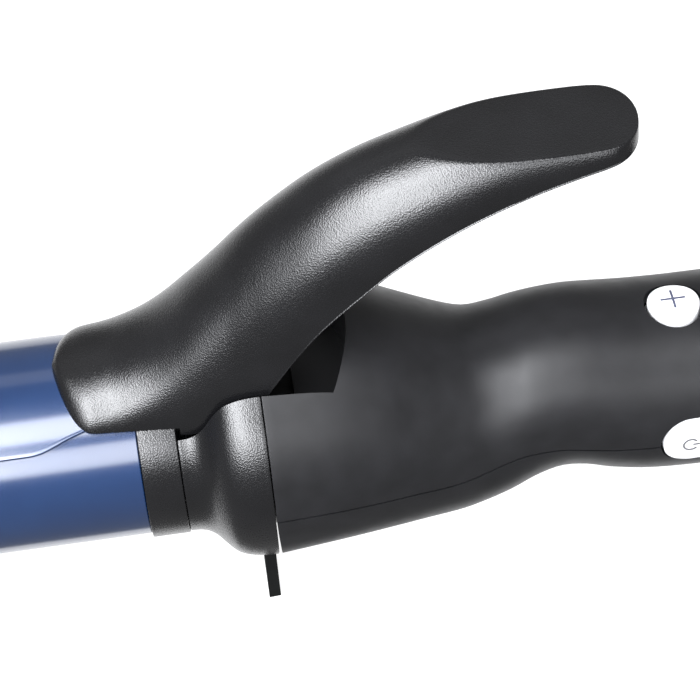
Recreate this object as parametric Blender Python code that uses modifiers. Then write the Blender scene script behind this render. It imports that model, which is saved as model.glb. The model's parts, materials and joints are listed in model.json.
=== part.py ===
"""Spring-clip curling iron (curling wand with a thumb lever), built as an assembly.

Run with: blender --background --python part.py
All lengths below are millimetres along the wand's own axis frame: +X runs from the
barrel to the handle along the barrel axis, X = 0 is the seam between the front cone
and the handle, +Z points to the clip side.  The whole assembly is finally tilted
about Y so that the stand foot and the tail both rest on the ground plane Z = 0.
"""
import math

import bmesh
import bpy
from mathutils import Matrix, Vector

# ---------------------------------------------------------------- driving dimensions
MM = 0.001
BARREL_R = 16.0            # 32 mm (1 1/4 inch) barrel
BARREL_WALL = 1.0
BARREL_X = (-165.0, -19.4)
TIP_X = -188.0             # front end of the cool tip
RING_R, RING_X = 16.7, (-19.1, -13.35)
NECK_R = 16.5              # narrow end of the cone
CONE_R = 22.0              # wide end of the cone, flush with the handle
CONE_X = (-13.05, -0.15)
SPIGOT_R = 17.1            # cone spigot inside the handle mouth
WALL = 2.2                 # moulded shell wall
SLOT_Y = 12.45             # half-width of the lever slot
PIVOT = (-6.0, 11.5)       # lever pin, x and z
STAND_PIVOT = (-1.45, -18.4)
STAND_Y, STAND_T, FOOT_Z = 14.0, 1.9, -28.6
LUG_LOW = (-3.2, -20.2)    # lower front corner of the cone's stand lugs, x and z
TAIL_X, TAIL_R, TAIL_Z = 145.3, 15.4, -2.0
PAD_Z = 53.7               # flat thumb pad
CLIP_R, CLIP_T = 16.25, 0.6
BUTTON_R, BUTTON_X = 4.1, (65.6, 78.8)
SIDE_BUTTON = (61.3, 79.3, -2.6, 4.4)   # start x, end x, centre z, half height
GAP = 0.3
# foot and tail cap bottom share the ground plane
TILT = math.atan2(-FOOT_Z - (TAIL_R - TAIL_Z), TAIL_X - STAND_PIVOT[0])

# handle: station x, section radius, height of the section centre
HANDLE = ((0, 22.0, 0.0), (10, 21.1, 0.0), (18, 19.7, -0.9), (24, 18.2, -2.2), (30, 16.7, -3.5),
          (34, 15.7, -3.7), (38, 15.2, -2.6), (42, 14.7, -0.9), (46, 14.4, 0.1), (50, 14.6, 0.0),
          (54, 15.0, -0.9), (60, 15.3, -1.9), (68, 15.4, -2.4), (90, 15.5, -2.6),
          (120, 15.9, -2.4), (145, 15.4, -2.0))
# parting line between the two handle shells: x, z
PARTING = ((0, -0.3), (10, -0.8), (20, -1.8), (28, -3.1), (33, -2.9), (39, -1.3), (44, -1.4),
           (50, -2.5), (60, -3.0), (90, -2.8), (150, -2.0))
# thumb lever: half-width, lower edge and crown along x
LEVER_W = ((-30, 11.0), (-25, 11.2), (-14, 11.6), (-6, 12.0), (2, 11.8), (10, 11.4), (20, 10.6),
           (31, 9.7), (40, 9.0), (50, 8.3), (53, 8.0))
LEVER_LOW = ((-30, 11.5), (-4, 11.5), (0, 15.4), (2, 18.6), (6, 24.3), (10, 29.0), (16, 34.3),
             (22, 38.9), (31, 43.9), (40, 47.5), (48, 49.8), (54, 51.0), (58.4, 51.6))
LEVER_TOP = ((-30.6, 17.6), (-29.5, 18.4), (-27, 18.9), (-22, 20.0), (-18, 21.9), (-15, 23.9), (-12, 26.5),
             (-9, 29.5), (-6, 32.5), (0, 38.7), (6, 43.5), (12, 47.6), (18, 50.7), (24, 52.9),
             (32, 55.5), (40, 57.3), (50, 57.2), (58.4, 56.0))
NOSE_X, NOSE_LEN = -30.6, 5.6
LEVER_TIP_X, LEVER_TIP_LEN = 58.4, 6.4

COLLECTION = "curling_wand"


# ---------------------------------------------------------------- helpers
def smooth(table, x, column=1):
    """Value at x of a smooth curve through the table's stations."""
    if x <= table[0][0]:
        return table[0][column]
    if x >= table[-1][0]:
        return table[-1][column]
    i = max(k for k in range(len(table) - 1) if table[k][0] <= x)
    slope = []
    for k in (i, i + 1):
        a, b = table[max(k - 1, 0)], table[min(k + 1, len(table) - 1)]
        slope.append((b[column] - a[column]) / (b[0] - a[0]))
    (x0, x1), (y0, y1) = (table[i][0], table[i + 1][0]), (table[i][column], table[i + 1][column])
    h = x1 - x0
    t = (x - x0) / h
    return ((2 * t**3 - 3 * t**2 + 1) * y0 + (t**3 - 2 * t**2 + t) * h * slope[0]
            + (3 * t**2 - 2 * t**3) * y1 + (t**3 - t**2) * h * slope[1])


def spread(start, end, step):
    count = max(1, round((end - start) / step))
    return [start + (end - start) * k / count for k in range(count + 1)]


def clear_scene():
    for obj in list(bpy.data.objects):
        bpy.data.objects.remove(obj, do_unlink=True)


def make_collection(name, hidden=False):
    coll = bpy.data.collections.new(name)
    bpy.context.scene.collection.children.link(coll)
    coll.hide_render = hidden
    return coll


def make_material(name, colour, roughness, metallic=0.0):
    mat = bpy.data.materials.new(name)
    mat.use_nodes = True
    shader = mat.node_tree.nodes["Principled BSDF"]
    shader.inputs["Base Color"].default_value = (*colour, 1.0)
    shader.inputs["Roughness"].default_value = roughness
    shader.inputs["Metallic"].default_value = metallic
    mat.diffuse_color = (*colour, 1.0)
    return mat


clear_scene()
PARTS = make_collection(COLLECTION)
CUTTERS = make_collection("cutters", hidden=True)


def add_object(name, bm, look=None, smooth_angle=35.0):
    """Links the bmesh as a part, or as a hidden cutter when it has no look."""
    bmesh.ops.recalc_face_normals(bm, faces=bm.faces)
    mesh = bpy.data.meshes.new(name)
    bm.to_mesh(mesh)
    bm.free()
    obj = bpy.data.objects.new(name, mesh)
    if look is None:
        CUTTERS.objects.link(obj)
        obj.hide_render = True
        obj.display_type = "WIRE"
    else:
        PARTS.objects.link(obj)
        mesh.materials.append(make_material(name, *look))
        mesh.shade_smooth()
        mesh.set_sharp_from_angle(angle=math.radians(smooth_angle))
    return obj


def box(name, low, high, look=None, bevel=0.0):
    bm = bmesh.new()
    bmesh.ops.create_cube(bm, size=1.0)
    for vert in bm.verts:
        vert.co = Vector([(lo + hi) / 2 + v * (hi - lo) for lo, hi, v in zip(low, high, vert.co)]) * MM
    obj = add_object(name, bm, look)
    if bevel:
        mod = obj.modifiers.new("edges", "BEVEL")
        mod.width, mod.segments = bevel * MM, 2
    return obj


def rod(name, radius, start, end, look=None, segments=32):
    """A cylinder between two points."""
    bm = bmesh.new()
    start, end = Vector(start), Vector(end)
    turn = (end - start).to_track_quat("Z", "Y").to_matrix().to_4x4()
    place = Matrix.Translation((start + end) / 2 * MM) @ turn
    bmesh.ops.create_cone(bm, cap_ends=True, segments=segments, radius1=radius * MM,
                          radius2=radius * MM, depth=(end - start).length * MM, matrix=place)
    return add_object(name, bm, look)


def turned(name, profile, look=None, steps=48, centre_z=0.0):
    """A body of revolution about the wand axis from (x, radius) points, front to back on its
    outer side; a profile that does not touch the axis is closed into a ring."""
    bm = bmesh.new()
    verts = [bm.verts.new((radius * MM, 0.0, x * MM)) for x, radius in reversed(profile)]
    edges = list(zip(verts, verts[1:]))
    if profile[0][1] > 0:
        edges.append((verts[-1], verts[0]))
    for a, b in edges:
        bm.edges.new((a, b))
    obj = add_object(name, bm, look)
    screw = obj.modifiers.new("turn", "SCREW")
    screw.steps = screw.render_steps = steps
    screw.use_merge_vertices = True
    screw.merge_threshold = 0.00001
    screw.use_smooth_shade = True
    obj.rotation_euler = (0.0, math.pi / 2, 0.0)
    obj.location = (0.0, 0.0, centre_z * MM)
    return obj


def loft(name, rings, look=None):
    """A closed solid through rings of equally many points, capped at both ends."""
    bm = bmesh.new()
    rows = [[bm.verts.new(Vector(p) * MM) for p in ring] for ring in rings]
    for a, b in zip(rows, rows[1:]):
        for k in range(len(a)):
            n = (k + 1) % len(a)
            bm.faces.new((a[k], a[n], b[n], b[k]))
    bm.faces.new(rows[0])
    bm.faces.new(list(reversed(rows[-1])))
    return add_object(name, bm, look, 40.0)


def prism(name, outline, low, high, look=None, across="Y"):
    """A flat outline pushed between two heights: (x, z) pairs across Y, (x, y) pairs across Z."""
    bm = bmesh.new()
    rows = []
    for level in (low, high):
        spots = [(a, level, b) if across == "Y" else (a, b, level) for a, b in outline]
        rows.append([bm.verts.new(Vector(p) * MM) for p in spots])
    count = len(outline)
    bm.faces.new(rows[0])
    bm.faces.new(list(reversed(rows[1])))
    for k in range(count):
        n = (k + 1) % count
        bm.faces.new((rows[0][k], rows[1][k], rows[1][n], rows[0][n]))
    return add_object(name, bm, look)


def wire(name, points, radius, look, sides=2):
    """A wire along a path, turned into a mesh with its end caps welded."""
    curve = bpy.data.curves.new(name, "CURVE")
    curve.dimensions = "3D"
    curve.bevel_depth = radius * MM
    curve.bevel_resolution = sides
    curve.use_fill_caps = True
    spline = curve.splines.new("POLY")
    spline.points.add(len(points) - 1)
    for point, place in zip(spline.points, points):
        point.co = (*(Vector(place) * MM), 1.0)
    guide = bpy.data.objects.new(name + "_path", curve)
    CUTTERS.objects.link(guide)
    bpy.context.view_layer.update()
    graph = bpy.context.evaluated_depsgraph_get()
    mesh = bpy.data.meshes.new_from_object(guide.evaluated_get(graph))
    bm = bmesh.new()
    bm.from_mesh(mesh)
    bmesh.ops.remove_doubles(bm, verts=bm.verts, dist=0.00001)
    bpy.data.objects.remove(guide, do_unlink=True)
    bpy.data.meshes.remove(mesh)
    return add_object(name, bm, look)


def boolean(obj, tool, operation):
    mod = obj.modifiers.new(tool.name, "BOOLEAN")
    mod.operation, mod.object, mod.solver = operation, tool, "EXACT"


def cut(obj, *tools):
    for tool in tools:
        boolean(obj, tool, "DIFFERENCE")


def join(obj, *tools):
    for tool in tools:
        boolean(obj, tool, "UNION")


def keep(obj, *tools):
    for tool in tools:
        boolean(obj, tool, "INTERSECT")


def stadium(x0, x1, centre, half, corners=10):
    """Outline with round ends."""
    points = []
    for cx, side in ((x1 - half, 1), (x0 + half, -1)):
        for k in range(corners + 1):
            angle = math.pi * k / corners - math.pi / 2
            points.append((cx + side * half * math.cos(angle), centre + side * half * math.sin(angle)))
    return points


def hang_on(empty_name, place, pieces):
    """Moves the pieces' origins to a joint axis and parents them to an empty there."""
    empty = bpy.data.objects.new(empty_name, None)
    PARTS.objects.link(empty)
    empty.location = Vector(place) * MM
    for obj in pieces:
        obj.data.transform(Matrix.Translation(-Vector(place) * MM) @ obj.matrix_basis)
        obj.matrix_basis = Matrix.Identity(4)
        obj.parent = empty
    return empty


# ---------------------------------------------------------------- looks (colour, roughness, metallic)
BLUE_METAL = ((0.030, 0.085, 0.190), 0.22, 0.9)
BLACK_GRAIN = ((0.018, 0.018, 0.020), 0.42, 0.0)
BLACK_SOFT = ((0.022, 0.022, 0.024), 0.62, 0.0)
BLACK_COAT = ((0.015, 0.015, 0.017), 0.5, 0.0)
WHITE = ((0.86, 0.86, 0.87), 0.35, 0.0)
STEEL = ((0.60, 0.61, 0.63), 0.3, 1.0)
ALUMINIUM = ((0.72, 0.73, 0.75), 0.35, 1.0)
CERAMIC = ((0.80, 0.78, 0.72), 0.6, 0.0)
BOARD = ((0.03, 0.16, 0.07), 0.5, 0.0)
SMOKED = ((0.02, 0.02, 0.03), 0.08, 0.0)
WIRE_COAT = ((0.75, 0.75, 0.72), 0.6, 0.0)
BRASS = ((0.70, 0.52, 0.22), 0.35, 1.0)


# ---------------------------------------------------------------- barrel group
def build_barrel():
    front, back = BARREL_X
    inner = BARREL_R - BARREL_WALL
    turned("barrel_tube", [(front, BARREL_R), (back, BARREL_R), (back, inner), (front, inner)], BLUE_METAL)


def build_cool_tip():
    seat = BARREL_X[0] - GAP
    dome = [(TIP_X, 5.0), (TIP_X + 1.2, 9.6), (TIP_X + 3.6, 13.0), (TIP_X + 7.0, 15.2), (TIP_X + 11.0, 16.0)]
    spigot = BARREL_R - BARREL_WALL - GAP
    profile = dome + [(seat, 16.0), (seat, spigot), (seat + 8, spigot), (seat + 8, 11.5),
                      (TIP_X + 9, 11.5), (TIP_X + 2.4, 6.0), (TIP_X + 2.4, 0.0)]
    turned("cool_tip", [(TIP_X, 0.0)] + profile, BLACK_GRAIN, steps=36)


def build_heat_ring():
    front, back = RING_X
    turned("heat_ring", [(front, RING_R - 0.3), (front + 0.3, RING_R), (back - 0.3, RING_R),
                         (back, RING_R - 0.3), (back, 14.0), (front, 14.0)], BLACK_COAT)


def build_barrel_bush():
    turned("barrel_bush", [(-34.0, 14.7), (-20.4, 14.7), (-20.1, 13.7), (-13.9, 13.7), (-13.9, 8.0),
                           (8.0, 8.0), (8.0, 6.6), (-34.0, 6.6)], CERAMIC, steps=28)


def build_heater():
    box("heater_plate", (-130, -7, -1.1), (-60, 7, 1.1), CERAMIC, bevel=0.3)
    for side, name in ((1, "heat_spreader_upper"), (-1, "heat_spreader_lower")):
        spreader = rod(name, 14.6, (-130, 0, 0), (-60, 0, 0), ALUMINIUM, segments=40)
        cut(spreader, box(name + "_flat", (-140, -20, -20 if side > 0 else -1.5),
                          (-50, 20, 1.5 if side > 0 else 20)))
        hollow = rod(name + "_hollow", 13.3, (-141, 0, 0), (-49, 0, 0), None, segments=40)
        keep(hollow, box(name + "_room", (-142, -20, 2.8 if side > 0 else -20),
                         (-48, 20, 20 if side > 0 else -2.8)))
        cut(spreader, hollow)
    rod("temperature_sensor", 1.5, (-57, 0, 0), (-48, 0, 0), BRASS, segments=16)
    rod("thermal_fuse", 2.0, (-45, 0, 0), (-35, 0, 0), STEEL, segments=20)
    turned("insulating_sleeve", [(-38, 6.2), (12, 6.2), (12, 5.5), (-38, 5.5)], WIRE_COAT, steps=20)


def build_leads():
    for side, name in ((-1, "heater_lead_live"), (1, "heater_lead_neutral")):
        y = side * 3.8
        path = [(-59.6, y, 0), (-50, y, 0), (0, y, 0), (14, y, 0), (24, side * 4.4, -0.6),
                (34, side * 5.6, -1.6), (44, side * 5.6, -1.6), (49.6, side * 5.4, -1.4)]
        wire(name, path, 0.8, WIRE_COAT, sides=1)


# ---------------------------------------------------------------- front cone and stand
def build_front_cone():
    front, back = CONE_X
    outer = [(front, NECK_R - 0.3), (front + 0.3, NECK_R), (-11.4, 16.6), (-10.2, 17.0), (-9.2, 17.7),
             (-8.2, 18.8), (-7.3, 19.8), (-6.3, 20.7), (-5.1, 21.3), (-3.6, 21.7), (-2.0, 21.9),
             (back, CONE_R)]
    inner = [(back, SPIGOT_R), (5.0, SPIGOT_R), (5.0, 14.6), (-10.6, 14.6), (-10.6, 8.4), (-12.8, 8.4),
             (-12.8, 15.9), (front, 15.9)]
    cone = turned("front_cone", outer + inner, BLACK_GRAIN, steps=44)
    slot = box("cone_slot", (-16, -SLOT_Y, 8.3), (6, SLOT_Y, 30))
    under = box("cone_underside", (-16, -STAND_Y - 0.4, -30), (0.0, STAND_Y + 0.4, -16.4))
    notch = box("cone_notch", (-16, -30, 11.0), (-11.9, 30, 30))
    cut(cone, slot, under, notch)
    px, pz = STAND_PIVOT
    for side in (-1, 1):
        low, high = sorted((side * 6.4, side * 8.6))
        join(cone, box(f"cone_lug_{side}", (LUG_LOW[0], low, LUG_LOW[1]), (-0.25, high, -15.6)))
    cut(cone, rod("cone_stand_hole", 1.05, (px, -12, pz), (px, 12, pz), segments=20))
    x, z = PIVOT
    cut(cone, rod("cone_pin_hole", 1.8, (x, -13.4, z), (x, 25, z), segments=24))


def build_stand():
    x, z = STAND_PIVOT
    low, high = x - STAND_T / 2, x + STAND_T / 2
    plate = box("stand_plate", (low, -STAND_Y, FOOT_Z - 1.0), (high, STAND_Y, -17.5), BLACK_COAT)
    # the notches stay clear of the lugs' furthest corner through the whole swing
    swing = math.dist((x, z), LUG_LOW) + GAP
    for side in (-1, 1):
        a, b = sorted((side * 6.1, side * 8.9))
        cut(plate, box(f"stand_notch_{side}", (low - 3, a, z - swing), (high + 3, b, -10)))
    join(plate, rod("stand_knuckle", 1.65, (x, -6.1, z), (x, 6.1, z), segments=24))
    cut(plate, rod("stand_bore", 1.05, (x, -7, z), (x, 7, z), segments=20))
    ground = box("stand_ground", (-30, -30, -20), (30, 30, 0))
    ground.location = (x * MM, 0, FOOT_Z * MM)
    ground.rotation_euler = (0, -TILT, 0)
    cut(plate, ground)
    pin = rod("stand_pin", 0.75, (x, -8.4, z), (x, 8.4, z), STEEL, segments=20)
    hang_on("stand_axis", (x, 0, z), [plate])
    return pin


# ---------------------------------------------------------------- handle
def handle_ring(x, inset, count):
    radius, centre = smooth(HANDLE, x, 1) - inset, smooth(HANDLE, x, 2)
    return [(x, radius * math.sin(2 * math.pi * k / count), centre + radius * math.cos(2 * math.pi * k / count))
            for k in range(count)]


def handle_loft(name, inset, start, end, look=None, count=36):
    stations = [start] + [x for x in spread(4, 60, 4) if start + 1 < x < end - 1]
    stations += [x for x in spread(75, 135, 20) if x < end - 1] + [end]
    return loft(name, [handle_ring(x, inset, count) for x in stations], look)


def handle_side(name, upper):
    """Everything above, or below, the parting line."""
    offset = GAP / 2 if upper else -GAP / 2
    line = [(x, smooth(PARTING, x) + offset) for x in spread(-6, 156, 6)]
    far = 40 if upper else -40
    return prism(name, line + [(156, far), (-6, far)], -40, 40)


def build_handle():
    x0, x1, cz, half = SIDE_BUTTON
    side_hole = prism("side_button_hole", stadium(x0 - 0.4, x1 + 0.4, cz, half + 0.4), -30, -9)
    bosses = (40.0, 121.0)
    for upper, name in ((True, "handle_upper"), (False, "handle_lower")):
        front = 0.15 if upper else 0.4
        shell = handle_loft(name, 0.0, front, TAIL_X - GAP, BLACK_SOFT)
        cut(shell, handle_loft(name + "_inside", WALL, -3.0, TAIL_X + 4.0, count=26))
        for k, x in enumerate(bosses):
            centre = smooth(HANDLE, x, 2)
            reach = smooth(HANDLE, x, 1) - 1.0
            split = smooth(PARTING, x)
            ends = (split - 3.0, centre + reach) if upper else (centre - reach, split - 3.4)
            join(shell, rod(f"{name}_boss_{k}", 3.2, (x, 0, ends[0]), (x, 0, ends[1]), segments=20))
        if upper:
            tub = box("recess_tub", (5.4, -14.0, 8.0), (17.0, 14.0, 30))
            keep(tub, handle_loft("recess_skin", 0.5, -3.0, 40.0))
            join(shell, tub)
            # a shallow bow for the end wall, from one side of the slot to the other
            levels = [SLOT_Y * (k / 8 - 1) for k in range(17)]
            wall = [(10.9 + 3.5 * max(math.cos(y / SLOT_Y * math.pi / 2), 0.0) ** 0.9, y) for y in levels]
            outline = [(-4, -SLOT_Y)] + wall + [(-4, SLOT_Y)]
            cut(shell, prism("lever_recess", outline, 9.6, 40, across="Z"))
            for k, x in enumerate(BUTTON_X):
                cut(shell, rod(f"button_hole_{k}", BUTTON_R + 0.4, (x, 0, 6), (x, 0, 20), segments=32))
            cut(shell, box("window_hole", (91.7, -6.8, 5), (112.3, 6.8, 20)))
        else:
            for k, x in enumerate(bosses):
                floor = smooth(HANDLE, x, 2) - smooth(HANDLE, x, 1)
                cut(shell, rod(f"screw_seat_{k}", 2.7, (x, 0, floor - 3), (x, 0, floor + 3.4), segments=20),
                    rod(f"screw_bore_{k}", 1.4, (x, 0, floor), (x, 0, 0), segments=16))
        if upper:
            for k, x in enumerate(bosses):
                cut(shell, rod(f"screw_pilot_{k}", 1.2, (x, 0, -12), (x, 0, 6), segments=16))
        cut(shell, side_hole)
        if not upper:
            cut(shell, rod("stand_room", 3.0, (0.0, -15, -18.4), (0.0, 15, -18.4), segments=16))
        boss_free = handle_side(name + "_side", upper)
        if upper:
            # the upper bosses reach 3 mm below the parting line into the lower shell's bosses
            for k, x in enumerate(bosses):
                join(boss_free, rod(f"boss_room_{k}", 4.0, (x, 0, -12), (x, 0, 4), segments=20))
        keep(shell, boss_free)
    for k, (x, name) in enumerate(zip(bosses, ("handle_screw_front", "handle_screw_rear"))):
        floor = smooth(HANDLE, x, 2) - smooth(HANDLE, x, 1)
        screw = rod(name, 2.4, (x, 0, floor + 1.2), (x, 0, floor + 3.1), STEEL, segments=20)
        join(screw, rod(name + "_shank", 0.9, (x, 0, floor + 2.6), (x, 0, 4.5), segments=14))
        cut(screw, box(name + "_drive", (x - 1.6, -0.3, floor), (x + 1.6, 0.3, floor + 2.0)),
            box(name + "_drive_b", (x - 0.3, -1.6, floor), (x + 0.3, 1.6, floor + 2.0)))


def build_tail():
    turned("tail_cap", [(TAIL_X, TAIL_R), (TAIL_X + 3.0, 15.1), (TAIL_X + 5.6, 14.0), (TAIL_X + 7.4, 12.2),
                        (TAIL_X + 8.2, 10.0), (TAIL_X + 8.2, 6.3), (TAIL_X + 4.9, 6.3), (TAIL_X + 4.9, 10.4),
                        (TAIL_X, 10.4)], BLACK_SOFT, steps=32, centre_z=TAIL_Z)
    gland = turned("swivel_gland", [(146.0, 9.4), (149.6, 9.4), (149.6, 5.9), (156.0, 5.9), (163.8, 5.2),
                                    (164.6, 4.7), (164.6, 3.8), (146.0, 3.8)], BLACK_COAT, steps=24,
                   centre_z=TAIL_Z)
    contacts = turned("swivel_contacts", [(130.0, 8.4), (145.2, 8.4), (145.2, 2.4), (130.0, 2.4)],
                      WHITE, steps=20, centre_z=TAIL_Z)
    return gland, contacts


# ---------------------------------------------------------------- controls
def build_top_button(name, x):
    """Round cap crowned to the handle's curve, a retaining flange and a stem to its switch."""
    cap = rod(name, BUTTON_R, (x, 0, 9.0), (x, 0, 16.0), WHITE, segments=28)
    centre = smooth(HANDLE, x, 2)
    crown = rod(name + "_crown", smooth(HANDLE, x, 1) + 0.45, (x - 9, 0, centre), (x + 9, 0, centre), segments=72)
    keep(cap, crown)
    join(cap, rod(name + "_flange", BUTTON_R + 1.1, (x, 0, 8.2), (x, 0, 9.2), segments=32),
         rod(name + "_stem", 1.6, (x, 0, 4.8), (x, 0, 8.6), segments=16))


def build_side_button():
    x0, x1, cz, half = SIDE_BUTTON
    cap = prism("power_button", stadium(x0, x1, cz, half, 14), -17.0, -11.0, WHITE)
    mid = (x0 + x1) / 2
    centre = smooth(HANDLE, mid, 2)
    keep(cap, rod("power_button_crown", smooth(HANDLE, mid, 1) + 0.45, (x0 - 9, 0, centre),
                  (x1 + 9, 0, centre), segments=72))
    join(cap, prism("power_button_flange", stadium(x0 - 1.1, x1 + 1.1, cz, half + 1.1), -11.3, -10.4),
         rod("power_button_stem", 1.6, (mid, -10.8, 1.4), (mid, -9.8, 1.4), segments=16))


def build_controls():
    for x, name in zip(BUTTON_X, ("plus_button", "minus_button")):
        build_top_button(name, x)
    build_side_button()
    centre = smooth(HANDLE, 102, 2)
    window = box("display_window", (92, -6.5, 7.6), (112, 6.5, 18), SMOKED)
    keep(window, rod("window_crown", smooth(HANDLE, 102, 1) - 0.1, (80, 0, centre), (124, 0, centre), segments=72))
    join(window, box("window_flange", (91.2, -7.3, 7.5), (112.8, 7.3, 8.3)))
    cut(window, box("window_view", (94, -4.5, 5), (110, 4.5, 10.8)))
    box("control_board", (50, -9, -2.0), (114, 9, -0.4), BOARD)
    box("display_module", (93, -6, -0.1), (111, 6, 6.9), WIRE_COAT, bevel=0.4)
    for x, name in zip(BUTTON_X, ("plus_switch", "minus_switch")):
        switch = box(name, (x - 3, -3, -0.1), (x + 3, 3, 2.9), STEEL, bevel=0.2)
        join(switch, rod(name + "_plunger", 1.5, (x, 0, 2.0), (x, 0, 3.7), segments=16))
    mid = (SIDE_BUTTON[0] + SIDE_BUTTON[1]) / 2
    switch = box("power_switch", (mid - 1.9, -8.2, -0.1), (mid + 1.9, -3.6, 3.1), STEEL, bevel=0.2)
    join(switch, rod("power_switch_plunger", 1.0, (mid, -8.7, 1.4), (mid, -7.0, 1.4), segments=16))


# ---------------------------------------------------------------- clip and thumb lever
def clip_angle(x):
    """Half of the arc that the clip covers, in radians."""
    table = ((-165, 14.0), (-164, 26.0), (-161, 36.0), (-156, 43.0), (-150, 46.0), (-36, 46.5), (-33.5, 45.5),
             (-29, 39.5), (-25, 35.5), (-21, 34.0))
    return math.radians(smooth(table, x))


def build_clip():
    """A rolled sheet: an open surface thickened outwards."""
    bm = bmesh.new()
    rows = []
    stations = [-164.6, -164.0, -162.5, -160, -156, -150] + spread(-125, -40, 28)
    stations += [-36, -34.5, -33, -31.5, -30, -28, -26, -24, -21]
    for x in stations:
        lift = 1.8 * max(0.0, (-156 - x) / 8.6) ** 2
        radius, reach = CLIP_R + lift, clip_angle(x)
        rows.append([bm.verts.new(Vector((x, radius * math.sin(a), radius * math.cos(a))) * MM)
                     for a in (reach * (2 * k / 16 - 1) for k in range(17))])
    for a, b in zip(rows, rows[1:]):
        for k in range(16):
            bm.faces.new((a[k], a[k + 1], b[k + 1], b[k]))
    clip = add_object("clip_blade", bm, BLUE_METAL)
    for poly in clip.data.polygons[:1]:
        outward = poly.normal.z > 0
    solid = clip.modifiers.new("sheet", "SOLIDIFY")
    solid.thickness = CLIP_T * MM
    solid.offset = 1.0 if outward else -1.0
    return clip


def arch(x, width, low, top, count, power=2.1):
    """An arch section: straight-ish sides over a rounded crown."""
    points = []
    for k in range(count):
        t = math.pi * k / (count - 1) - math.pi / 2
        s, c = math.sin(t), max(math.cos(t), 0.0)
        points.append((x, math.copysign(width * abs(s) ** (2 / power), s), low + (top - low) * c ** (2 / power)))
    return points


def lever_width(x):
    width = smooth(LEVER_W, x)
    if x < NOSE_X + NOSE_LEN:
        u = 1.0 - (x - NOSE_X) / NOSE_LEN
        width *= max(1.0 - u**2.4, 0.0) ** (1 / 2.4)
    if x > LEVER_TIP_X - LEVER_TIP_LEN:
        u = 1.0 - (LEVER_TIP_X - x) / LEVER_TIP_LEN
        width *= max(1.0 - u**2.2, 0.0) ** (1 / 2.2)
    return max(width, 0.9)


def lever_stations():
    nose = [NOSE_X, -30.3, -29.8, -29.0, -27.8, -26.3, -24.6, -22, -19.2]
    body = spread(-16.5, 49, 3.8)
    tip = [52, 53.8, 55.2, 56.4, 57.3, 57.95, 58.3, LEVER_TIP_X]
    return nose + body + tip


def build_lever():
    rings = [arch(x, lever_width(x), smooth(LEVER_LOW, x), smooth(LEVER_TOP, x), 21) for x in lever_stations()]
    lever = loft("thumb_lever", rings, BLACK_GRAIN)
    inside = []
    for x in [-18.5] + spread(-15, 44, 5):
        top = min(smooth(LEVER_TOP, x) - 2.2, PAD_Z - 2.0)
        inside.append(arch(x, smooth(LEVER_W, x) - 2.1, smooth(LEVER_LOW, x) - 6.0, top, 14))
    cut(lever, loft("lever_inside", inside))
    cut(lever, rod("lever_saddle", 17.1, (-40, 0, 0), (-12.6, 0, 0), segments=90))
    cut(lever, box("lever_pad", (20, -20, PAD_Z), (70, 20, 70)))
    x, z = PIVOT
    for side in (-1, 1):
        ear = rod(f"lever_ear_{side}", 4.0, (x, side * 9.7, z), (x, side * 11.8, z), segments=28)
        join(lever, ear)
    join(lever, box("lever_post", (0.6, -2.2, 21.0), (2.6, 2.2, 38.2)))
    cut(lever, rod("lever_pin_hole", 1.75, (x, -20, z), (x, 20, z), segments=24))
    rivets = [rod(name, 1.3, (-23.2, y, 16.1), (-23.2, y, 18.0), STEEL, segments=18)
              for y, name in ((-3.5, "clip_rivet_near"), (3.5, "clip_rivet_far"))]
    clip = build_clip()
    for k, y in enumerate((-3.5, 3.5)):
        hole = rod(f"rivet_hole_{k}", 1.55, (-23.2, y, 12), (-23.2, y, 18.3), segments=18)
        cut(lever, hole)
        cut(clip, hole)
    pin = rod("lever_pin", 1.5, (x, -13.1, z), (x, 15.6, z), STEEL, segments=24)
    hang_on("lever_axis", (x, 0, z), [lever, clip] + rivets)
    return pin


def build_spring():
    x, z = PIVOT
    points = [(-10.0, 5.0, 8.6), (-9.0, 5.0, 9.4)]
    for k in range(6 * 8 + 1):
        a = math.radians(160 - 2185 / 48 * k)
        points.append((x + 2.45 * math.cos(a), 4.8 - 9.6 * k / 48, z + 2.45 * math.sin(a)))
    points += [(-2.5, -2.6, 17.1), (1.6, 0.0, 20.1)]
    wire("lever_spring", points, 0.5, STEEL, sides=1)


def tilt_assembly():
    """Stands the wand on the stand foot and the tail, foot centre at the world origin."""
    root = bpy.data.objects.new("wand_axis", None)
    PARTS.objects.link(root)
    for obj in list(PARTS.objects) + list(CUTTERS.objects):
        if obj is not root and obj.parent is None:
            obj.parent = root
    root.rotation_euler = (0, TILT, 0)
    foot = Matrix.Rotation(TILT, 4, "Y") @ (Vector((STAND_PIVOT[0], 0, FOOT_Z)) * MM)
    root.location = -foot


build_barrel()
build_cool_tip()
build_heat_ring()
build_barrel_bush()
build_heater()
build_leads()
build_front_cone()
build_stand()
build_handle()
build_tail()
build_controls()
build_lever()
build_spring()
tilt_assembly()
bpy.context.view_layer.update()
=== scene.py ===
import json
import math

import bmesh
import bpy
from mathutils import Matrix, Vector


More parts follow.
